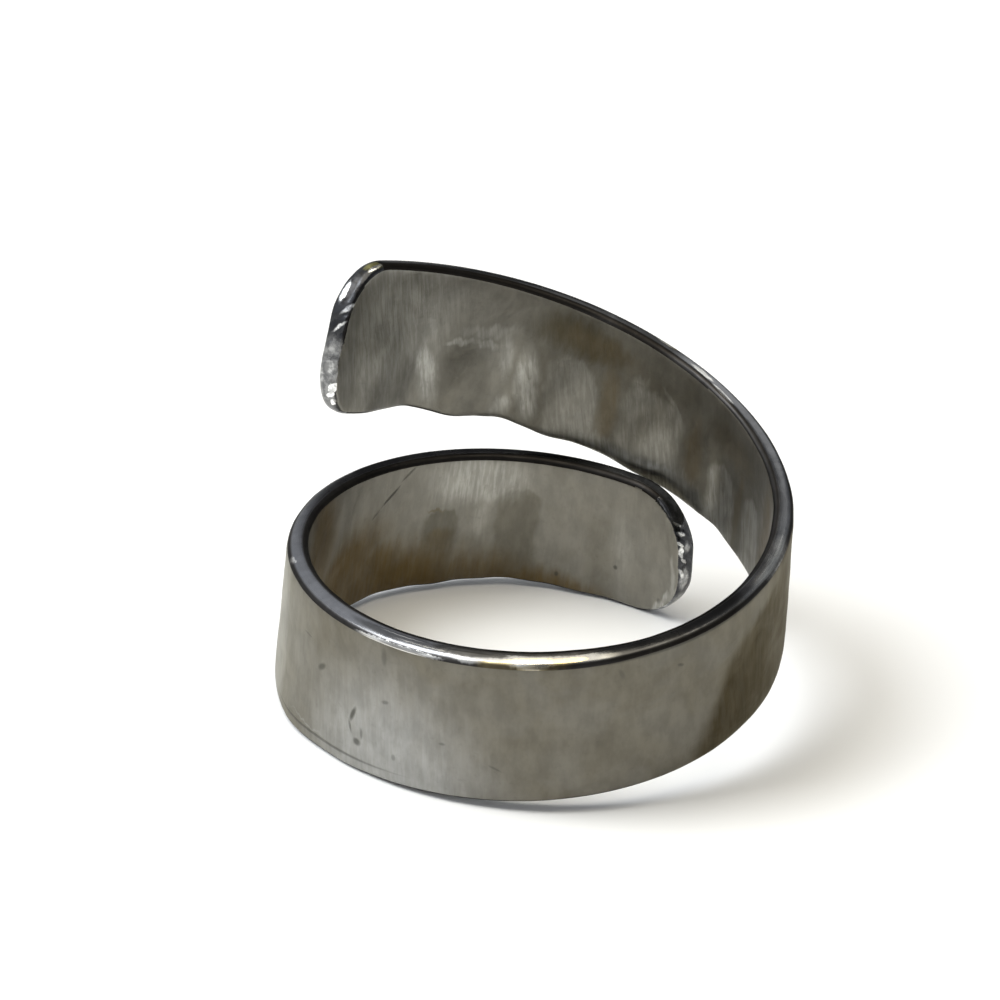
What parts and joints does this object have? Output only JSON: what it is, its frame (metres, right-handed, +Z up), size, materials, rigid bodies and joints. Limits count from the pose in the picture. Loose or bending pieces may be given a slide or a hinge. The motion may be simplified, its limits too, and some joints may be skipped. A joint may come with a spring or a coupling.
{
  "type": "open cuff ring",
  "caption": "Open cuff ring of flat metal strip with rounded edges and ends, wound past a full turn so that its ends pass each other without meeting.",
  "frame": {"origin": "on the surface the ring lies on, under the middle of its bounding box", "axes": "+Z up from the surface, close to the ring's own axis; the ring is wound anticlockwise as it rises, and its raised end points to the back left, -X +Y"},
  "size_m": [0.0188, 0.0192, 0.0147],
  "materials": {
    "band_metal": "brushed across the strip and dulled by wear, with bright rounded edges and brown tarnish inside"
  },
  "bodies": {
    "root": {"band": "band_metal"}
  },
  "joints": []
}
